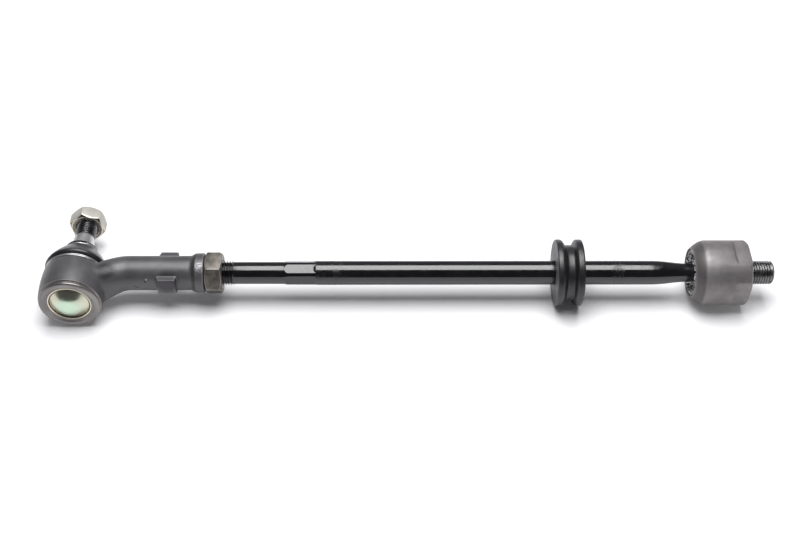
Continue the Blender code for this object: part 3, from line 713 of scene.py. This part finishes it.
arm_rings = []
for k in range(ARM_STEPS + 1):
    t = ARM_START + (1 - ARM_START) * k / ARM_STEPS
    ease = t * t * (3 - 2 * t)
    slope = 6 * t * (1 - t) / SHANK_START
    centre = at(ROD, SHANK_START * t, -CRANK * (1 - ease), -DROP * (1 - ease))
    along = Vector((1, CRANK * slope, DROP * slope)).normalized()
    arm_rings.append(oval(centre, along, SHANK_R, SHANK_R + ROOT_FLARE * (1 - t) ** 2))
for station, radius in ((SHANK_END - 0.6, SHANK_R), (SHANK_END + 1.9, COLLAR_R),
                        (COLLAR_END + 0.6, COLLAR_R)):
    arm_rings.append(oval(at(ROD, station), ALONG_ROD, radius, radius))
arm = loft("arm", arm_rings)
print("arm:", len(arm_rings), "rings")

# %% The barrel
BARREL_R = 18.5
CROWN_LOW, CROWN_HIGH = -10.5, 8.8
CROWN_STEPS = 24
crown = []
for k in range(CROWN_STEPS + 1):
    height = CROWN_LOW + (CROWN_HIGH - CROWN_LOW) * k / CROWN_STEPS
    end, fall = (CROWN_LOW, 0.7) if height < 0 else (CROWN_HIGH, 0.5)
    crown.append((height, BARREL_R - fall * (height / end) ** 2))
foot, top = [(-16.0, 0), (-16.0, BARREL_R - 0.7)], [(14.0, 16.3), (14.0, 0)]
barrel = lathe("barrel", metres(foot + crown + top), "Y", OUTER)
print("barrel:", len(barrel.data.polygons), "faces")

# %% The spanner pads
PAD_START, PAD_END = 47.5, 59.3
PAD_HALF = 5.5
PAD_ROOT, PAD_TOP = 8.6, 12.2
PAD_SLOPE = 0.75
pads = []
for way in (-1, 1):
    rings = []
    for reach, slope in ((PAD_ROOT, 0.0), (PAD_TOP, PAD_SLOPE)):
        low, high, half = PAD_START + slope, PAD_END - slope, PAD_HALF - slope * 0.35
        corners = ((low, -half), (high, -half), (high, half), (low, half))
        rings.append([at(ROD, x, way * reach, z) for x, z in corners])
    pads.append(loft("pad", rings))
print("masses:", 2 + len(pads))

# %% One skin, relaxed into fillets
CELL = 0.42
ROOT_REACH, ROOT_WIDTH = 19.0, 4.5
bpy.ops.object.select_all(action="DESELECT")
for mass in [arm, barrel] + pads:
    mass.select_set(True)
bpy.context.view_layer.objects.active = arm
bpy.ops.object.join()
housing = arm
housing.name = "forging"
skin = housing.modifiers.new("skin", "REMESH")
skin.mode = "VOXEL"
skin.voxel_size = CELL * MM
settle(housing)

spots = np.array([v.co for v in housing.data.vertices])
reach = np.hypot(spots[:, 0] - OUTER.x, spots[:, 2] - OUTER.z)
on_arm = spots[:, 0] - ROD.x > 6 * MM
root = np.exp(-((reach - ROOT_REACH * MM) / (ROOT_WIDTH * MM)) ** 2) * on_arm
group = housing.vertex_groups.new(name="root")
for k in np.flatnonzero(root > 0.02):
    group.add([int(k)], float(root[k]), "REPLACE")
for label, turns, where in (("all over", 7, ""), ("arm root", 130, "root")):
    relax = housing.modifiers.new(label, "SMOOTH")
    relax.iterations = turns
    relax.factor = 0.5
    relax.vertex_group = where
settle(housing)
housing.vertex_groups.clear()
housing.data.materials.clear()
housing.data.materials.append(forged)
print("forging:", len(housing.data.polygons), "faces")


# %% The lathe's work on the forging
def machine(outline, axis, centre, finish):
    """Turns or bores the housing: everything inside the outline goes."""
    tool = lathe("tool", outline, axis, centre, 144)
    tool.data.materials.append(finish)
    cut(housing, tool)


CLEAR = -18.0  # a station in front of the forging, where the tools for the lip start
LIP_FOOT, LIP_CREST = -12.2, -13.4
RECESS_R, BORE_R = 12.4, 13.2
NECK_R_OUT, NECK_END = 15.6, 13.0
THREAD_BORE_R = 7.3
machine(rounded([
    (CLEAR, 25, 0), (CLEAR, 5, 0), (LIP_FOOT, 5, 0), (LIP_FOOT, 12.7, 0.3),
    (LIP_CREST, 14.9, 1.1), (-12.75, 17.25, 1.1), (-11.3, 17.3, 0.8), (-10.75, 16.95, 0.3),
    (-10.55, 17.1, 0.15), (-10.3, 18.0, 0.6), (-9.9, 25, 0),
]), "Y", OUTER, turned_grey)
machine(rounded([
    (CLEAR, 0, 0), (CLEAR, RECESS_R, 0), (-11.6, RECESS_R, 0), (-11.6, BORE_R, 0),
    (6.7, BORE_R, 0), (8.0, 10.2, 0), (NECK_END, 12.5, 0), (15, 13.5, 0), (15, 0, 0),
]), "Y", OUTER, turned_grey)
machine(metres([
    (NECK_END, 0), (NECK_END, NECK_R_OUT), (CROWN_HIGH, NECK_R_OUT), (CROWN_HIGH, 19.0),
    (31, 19.0), (31, 0),
]), "Y", OUTER, turned_grey)
machine(rounded([
    (COLLAR_END + 3, 0, 0), (COLLAR_END + 3, 20, 0), (COLLAR_END - 0.5, 20, 0),
    (COLLAR_END - 0.5, COLLAR_R, 0), (COLLAR_END, COLLAR_R - 0.6, 0.3), (COLLAR_END, 0, 0),
]), "X", ROD, forged)
machine(metres([
    (34.9, 0), (38.9, THREAD_BORE_R), (COLLAR_END - 1, THREAD_BORE_R), (COLLAR_END + 1.3, 9.6),
    (COLLAR_END + 1.3, 0),
]), "X", ROD, forged)
settle(housing, 35)
mark_edges(housing)
wear(housing, "rod_end_housing", forged, "forged_grey", "rod_end_housing")

# %% [markdown]
# ## Cover, stud and nuts
#
# The cover is a pressed dome: flat in the middle, with a flank that falls away to a groove and a
# raised rim. It is a thin sheet, so the ball has room behind it when the stud swings. Its plating
# is a mirror. The middle shows the white table in front, and the upper flank leans back far
# enough to show the dark room, which is what makes a dome read as one.

# %% Cover plate
cover = lathe("cover", rounded([
    (-14.5, 0, 0), (-14.5, 4.4, 2.6), (-10.2, 10.8, 0.5), (-10.2, 12.9, 0.2), (-11.3, 12.9, 0.2),
    (-11.3, 12.45, 0.1), (-12.0, 12.4, 0.25), (-12.0, 11.8, 0.25), (-11.35, 11.55, 0.15),
    (-11.35, 11.1, 0.25), (-15.65, 4.9, 3.6), (-15.68, 0, 0),
], 12), "Y", OUTER, 144)
wear(cover, "rod_end_housing", cover_zinc, "yellow_zinc", "cover_plate")

# %% Ball stud and its thread
STUD_BALL_R, STUD_BALL_FLAT = 11.0, 8.9
STUD_NECK_R, TAPER_R = 5.6, 6.7
STUD_THREAD_R, STUD_CORE_R = 6.0, 5.1
STUD_THREAD_START, STUD_END = 42.0, 63.0
stud_ball = arc(STUD_BALL_R, math.acos(STUD_BALL_FLAT / STUD_BALL_R),
                math.pi - math.asin(STUD_NECK_R / STUD_BALL_R), 28)
stud = lathe("stud", rounded([(-STUD_BALL_FLAT, 0, 0)] + stud_ball + [
    (18, STUD_NECK_R, 2), (24, TAPER_R, 1.5), (32, TAPER_R, 0.6), (40.6, 6.05, 0.3),
    (42.2, STUD_CORE_R, 0.3), (STUD_END - 1, STUD_CORE_R, 0), (STUD_END - 0.9, 5.9, 0),
    (STUD_END, 5.0, 0.2), (STUD_END, 2.2, 0.2), (STUD_END - 1.5, 0, 0),
]), "Y", OUTER, 112)
wear(stud, "ball_stud", bright, "bright_steel", "ball_stud")
stud_thread = thread("stud_thread", dark_steel, "Y", OUTER, STUD_THREAD_START - 1,
                     STUD_END - 0.5, STUD_THREAD_R, STUD_CORE_R, 1.5, 1.5)
wear(stud_thread, "ball_stud", dark_steel, "bright_steel")


# %% Nuts
def nut(name, across_flats, start, end, bore, turn, axis, centre, finish, ends, worn, chamfer):
    """Turned blank with chamfers, brought down to six flats, its edges softened and worn."""
    corner = across_flats / math.sqrt(3) + 0.2
    face = across_flats / 2 * 0.95
    fall = (corner - face) * math.tan(math.radians(chamfer))
    lead = 0.9  # chamfer of the bore
    made = lathe(name, rounded([
        (start, bore + lead, 0), (start, face, 0), (start + fall, corner, 0),
        (end - fall, corner, 0), (end, face, 0), (end, bore + lead, 0),
        (end - lead, bore, 0), (start + lead, bore, 0),
    ]), axis, centre, 120)
    made.data.materials.append(ends)
    flats = hexagon("flats", across_flats, start - 1, end + 1, turn, axis, centre)
    flats.data.materials.append(finish)
    cut(made, flats, "INTERSECT")
    return soften(made, 0.3, 20, worn)


stud_nut = nut("finished_stud_nut", 19, 50.6, 60.2, 6.3, 40.4, "Y", OUTER,
               nut_zinc, nut_end, worn_nut, 40)
wear(stud_nut, "ball_stud", nut_zinc, "yellow_zinc", "stud_nut")
lock_nut = nut("lock_nut", 22, 75, 85, THREAD_BORE_R, 5.8, "X", ROD,
               olive_zinc, olive_zinc, worn_zinc, 30)
wear(lock_nut, "jam_nut", olive_zinc, "olive_zinc", "jam_nut")

# %% [markdown]
# ## Boot and wire rings
#
# The boot is one rubber moulding between the housing's neck and the stud. A real boot follows the
# stud when the joint swings; this one is a single still mesh that neither body carries. The wire
# rings are a spiral by rule, because the number of turns and the wire's size are what changes.

# %% Boot
BELT_R, BELT_END = 16.75, 12.32
BOOT_WALL = 1.4
DOME_LOW, DOME_HIGH = 14.4, 27.0
DOME_TOP_R, DOME_R = 10.2, 18.4
ROUNDNESS = 1.7
LIP_R = 8.9
DOME_STEPS = 28
dome = []
for k in range(DOME_STEPS + 1):
    angle = math.pi / 2 * k / DOME_STEPS
    out, up = math.cos(angle) ** ROUNDNESS, math.sin(angle) ** ROUNDNESS
    dome.append((DOME_LOW + (DOME_HIGH - DOME_LOW) * up, DOME_TOP_R + (DOME_R - DOME_TOP_R) * out))
outside = [(9.1, BELT_R), (BELT_END, BELT_R), (BELT_END + 0.3, 17.4), (BELT_END + 1, 18.1)] + dome
lip = [(27.3, LIP_R), (30.0, LIP_R), (30.05, 9.3), (30.25, 9.5), (30.6, 9.45), (30.84, 9.1),
       (30.84, 7.0), (25.6, 7.0)]
inside = []
for (s, r), (s2, r2) in zip(dome, dome[1:]):
    length = math.hypot(s2 - s, r2 - r)
    down, inward = (r2 - r) / length * BOOT_WALL, (s2 - s) / length * BOOT_WALL
    inside.append(((s + s2) / 2 + down, (r + r2) / 2 - inward))
bottom = [(13.6, 15.9), (9.1, 15.9)]
boot = lathe("boot", metres(outside + lip + inside[::-1] + bottom), "Y", OUTER, 112)
boot.data.materials.append(boot_skin)
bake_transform(boot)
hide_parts("dust_boot")
print("boot:", len(boot.data.polygons), "faces")


# %% Wire rings
def coil_rule(name, finish):
    tree, enter, leave = rule(name, ("Turns", "Radius", "Wire", "Rise"))
    turns, radius, wire, rise = enter.outputs[:4]
    height = maths(tree, "MULTIPLY", turns, rise)
    spiral = put(tree, "GeometryNodeCurveSpiral", {
        "Resolution": 96, "Rotations": turns, "Start Radius": radius, "End Radius": radius,
        "Height": height,
    })
    half = maths(tree, "MULTIPLY", wire, 0.5)
    section = put(tree, "GeometryNodeCurvePrimitiveCircle", {"Resolution": 12, "Radius": half})
    swept = put(tree, "GeometryNodeCurveToMesh", {
        "Curve": spiral.outputs[0], "Profile Curve": section.outputs[0], "Fill Caps": True,
    })
    end_rule(tree, swept.outputs[0], finish, leave)
    return tree


WIRE = 0.8
WIRE_RISE = 1.12  # from turn to turn, in wires


def wire_ring(name, turns, inner_r, start, turn, body, node):
    """A wire ring about the stud's axis; Z of the spiral becomes +Y of the part."""
    values = {"Turns": turns, "Radius": (inner_r + WIRE / 2) * MM, "Wire": WIRE * MM,
              "Rise": WIRE * WIRE_RISE * MM}
    lay = Matrix.Translation(at(OUTER, 0, start + WIRE / 2))
    lay = lay @ Matrix.Rotation(math.radians(-90), 4, "X")
    lay = lay @ Matrix.Rotation(math.radians(turn), 4, "Z")
    made = by_rule(name, coil_rule(name, wire_steel), values, lay)
    wear(made, body, wire_steel, "bright_steel", node)


wire_ring("lower_wire", 1.9, 17.0, 9.4, 30, "rod_end_housing", "boot_lower_ring")
wire_ring("upper_wire", 1.4, 9.1, 27.6, 80, "boot_upper_ring", "boot_upper_ring")

# %% [markdown]
# ## Bellows ring and inner joint
#
# The rubber ring has two discs and a groove for the bellows' small end. The inner joint is a
# turned cup whose thin rim is rolled over the seat. Four wrench flats are milled at the far end
# with a cutter whose corner is round, which is why each flat ends in a small ramp.

# %% Bellows ring
RING_START = 277.4
RING_R, RING_GROOVE_R, RING_BORE_R = 19.4, 16.1, 7.3
RING_WIDTH = 15.5
ring_corners = (
    (0, RING_BORE_R, 0.4), (0, RING_R, 1.1), (3.6, RING_R, 1.0), (6.0, RING_GROOVE_R, 0.9),
    (10.0, RING_GROOVE_R, 0.9), (11.6, RING_R, 1.0), (RING_WIDTH, RING_R, 1.1),
    (RING_WIDTH, RING_BORE_R, 0.4),
)
ring_outline = rounded([(RING_START + s, r, rounding) for s, r, rounding in ring_corners], 6)
bellows_ring = lathe("bellows_ring", ring_outline, "X", ROD, 128)
for finish in (ring_skin, ring_face):
    bellows_ring.data.materials.append(finish)
for face in bellows_ring.data.polygons:
    face.material_index = int(abs(face.normal.x) > 0.98)
wear(bellows_ring, "boot_seat_ring", ring_skin, "ring_rubber", "boot_seat_ring")

# %% Turn the inner cup
CUP_R = 18.9
MOUTH, MOUTH_DROP = -12.2, 4.5
SHOULDER_LENGTH, SHOULDER_STEPS = 7.8, 16
FACE = 19.9
CUP_END = FACE + 15.9
INNER_THREAD_R, INNER_CORE_R = 6.9, 5.9
CAVITY_R, SEAT_R, LIP_INNER_R = 14.3, 14.8, 13.8
shoulder = []
for k in range(SHOULDER_STEPS + 1):
    t = k / SHOULDER_STEPS
    shoulder.append((MOUTH + SHOULDER_LENGTH * t, CUP_R - MOUTH_DROP * (1 - t) ** 1.6, 0))
outside = [
    (FACE - 1.2, CUP_R, 0.5), (FACE, CUP_R - 1.2, 0.4), (FACE, INNER_THREAD_R - 0.6, 0.5),
    (FACE + 2, INNER_CORE_R, 0.4), (CUP_END - 1.2, INNER_CORE_R, 0),
    (CUP_END - 1.1, 6.7, 0), (CUP_END, 5.7, 0.3), (CUP_END, 0, 0),
]
cavity = arc(CAVITY_R, math.pi, math.pi / 2, 16)
mouth = [(0, SEAT_R, 0), (-9.0, SEAT_R, 0), (-9.0, LIP_INNER_R, 0), (-12.1, LIP_INNER_R, 0)]
cup = lathe("cup", rounded(shoulder + outside + cavity + mouth), "X", INNER, 144)
cup.data.materials.append(cup_steel)
print("turned cup:", len(cup.data.polygons), "faces")

# %% Mill the four wrench flats
FLAT_HEIGHT = 16.6
FLAT_START = FACE - 7.8
RAMP_R = 2.3
CLEAR_OF_CUP = 22.0
FLAT_HALF = 14.0
section = [(FACE + 1, FLAT_HEIGHT)]
for j in range(9):
    angle = math.pi / 2 * j / 8
    rise = RAMP_R * (1 - math.cos(angle))
    section.append((FLAT_START - RAMP_R * math.sin(angle), FLAT_HEIGHT + rise))
section += [(FLAT_START - RAMP_R, CLEAR_OF_CUP), (FACE + 1, CLEAR_OF_CUP)]
for k in range(4):
    sides = [[at(Vector(), x, y, z) for x, y in section] for z in (-FLAT_HALF, FLAT_HALF)]
    milling = loft("milling", sides)
    milling.data.materials.append(cup_steel)
    turn = Matrix.Rotation(math.radians(93 + 90 * k), 4, "X")
    milling.data.transform(Matrix.Translation(INNER) @ turn)
    cut(cup, milling)
soften(cup, 0.2, 25)
wear(cup, "inner_housing", cup_steel, "cup_steel", "inner_housing")
cup_thread = thread("cup_thread", thread_steel, "X", INNER, FACE + 1.6, CUP_END - 0.7,
                    INNER_THREAD_R, INNER_CORE_R, 1.2, 1.2)
wear(cup_thread, "inner_housing", thread_steel, "cup_steel")

# %% [markdown]
# The seat in the cup's mouth is thick with grease, which is the only rough, glittering thing on
# the part. Its lumps are bumps in the grease's finish and its glints are painted highlights in its
# colour, so the seat keeps its true form.

# %% Greased seat in the mouth
THROAT_R = 12.3
THROAT_OPENS = math.radians(51.5)
SEAT_BACK, SEAT_FRONT = -0.3, -11.7
throat = arc(THROAT_R, THROAT_OPENS, math.acos(-SEAT_BACK / THROAT_R), 16)
front_seat = lathe("greased_seat", rounded(throat + [
    (SEAT_BACK, 14.5, 0), (-8.7, 14.5, 0), (-8.7, 13.5, 0), (SEAT_FRONT, 13.5, 0.3),
    (SEAT_FRONT, THROAT_R, 0.3),
]), "X", INNER, 144)
wear(front_seat, "inner_front_seat", grease, "seat_plastic", "inner_front_seat")

# %% Hidden seats keep their solids and get the plastic's skin
for name in ("outer_ball_seat", "inner_rear_seat"):
    node = frame["nodes"][name]
    node.data.materials.clear()
    node.data.materials.append(seat_skin)
    shade(node.data, 30)

# %% [markdown]
# ## Table, light and camera
#
# The picture is lit by one soft box overhead, with a dim wall behind the part and a dark room
# behind the camera. The bright stripe along the rod is the box's own reflection: its width on the
# round gives the box's size, about 45 degrees across as the rod sees it, and how far the rod's
# shadow has moved towards the camera gives its place. The table is plain white and glows a little
# more the further it lies from the part, as overexposed paper does in a photo.

# %% Table
TABLE_REACH = 4.0
NEAR, FAR = 0.1, 0.6  # metres from the part's middle
GLOW_NEAR, GLOW_FAR = 0.02, 0.46
corners = [(-1, -1), (1, -1), (1, 1), (-1, 1)]
table_mesh = bpy.data.meshes.new("table")
table_mesh.from_pydata([(x * TABLE_REACH, y * TABLE_REACH, 0) for x, y in corners], [],
                       [(0, 1, 2, 3)])
table = bpy.data.objects.new("table", table_mesh)
table.location.z = -0.02 * MM
bpy.context.scene.collection.objects.link(table)
paper, tree, shader = start_material("white table")
shader.inputs["Base Color"].default_value = (0.9, 0.895, 0.915, 1.0)
shader.inputs["Roughness"].default_value = 0.7
ray = put(tree, "ShaderNodeLightPath")
seen = maths(tree, "ADD", ray.outputs["Is Camera Ray"], ray.outputs["Is Glossy Ray"])
seen = maths(tree, "ADD", seen, ray.outputs["Is Transmission Ray"])
away = put(tree, "ShaderNodeVectorMath", {0: place_of(tree)}, operation="LENGTH").outputs["Value"]
glow = maths(tree, "MULTIPLY", seen, band(tree, away, NEAR, FAR, GLOW_NEAR, GLOW_FAR))
tree.links.new(glow, shader.inputs["Emission Strength"])
shader.inputs["Emission Color"].default_value = (1.0, 1.0, 1.0, 1.0)
table_mesh.materials.append(paper)

# %% Soft box, straight down
lamp = bpy.data.lights.new("soft box", "AREA")
lamp.shape = "RECTANGLE"
lamp.size, lamp.size_y = 0.79, 0.8
lamp.energy = 14.1
soft_box = bpy.data.objects.new("soft box", lamp)
soft_box.location = (-0.015, 0.1, 0.95)
bpy.context.scene.collection.objects.link(soft_box)

# %% Room: dark behind the camera, dim behind the part
DARK_TO, WALL_FROM = -0.2, 0.6  # how far a direction points along Y
DARK_SIDE, WALL = 0.07, 0.24
room = bpy.data.worlds.new("room")
bpy.context.scene.world = room
room.use_nodes = True
tree = room.node_tree
sky = tree.nodes["Background"]
sky.inputs["Color"].default_value = (0.94, 0.94, 1.0, 1.0)
towards_wall = parts_of(tree, put(tree, "ShaderNodeTexCoord").outputs["Generated"])[1]
strength = band(tree, towards_wall, DARK_TO, WALL_FROM, DARK_SIDE, WALL)
tree.links.new(strength, sky.inputs["Strength"])

# %% Camera, from the photo's perspective
YAW, TILT, ROLL = math.radians(1.52), math.radians(44.67), math.radians(-1.03)
FOCAL_PIXELS, PICTURE_PIXELS, SENSOR = 1258, 800, 36.0
forward = Vector((
    math.sin(YAW) * math.cos(TILT), math.cos(YAW) * math.cos(TILT), -math.sin(TILT),
))
level = Vector((math.cos(YAW), -math.sin(YAW), 0))
down = forward.cross(level)
right = level * math.cos(ROLL) + down * math.sin(ROLL)
below = down * math.cos(ROLL) - level * math.sin(ROLL)
lens = bpy.data.cameras.new("camera")
lens.sensor_width = SENSOR
lens.lens = FOCAL_PIXELS / PICTURE_PIXELS * SENSOR
lens.clip_start = 0.01
camera = bpy.data.objects.new("camera", lens)
axes = Matrix((right, -below, -forward)).transposed().to_4x4()
camera.matrix_world = Matrix.Translation((-0.01948, -0.5292, 0.53632)) @ axes
bpy.context.scene.collection.objects.link(camera)
bpy.context.scene.camera = camera
bpy.context.scene.view_settings.view_transform = "Standard"
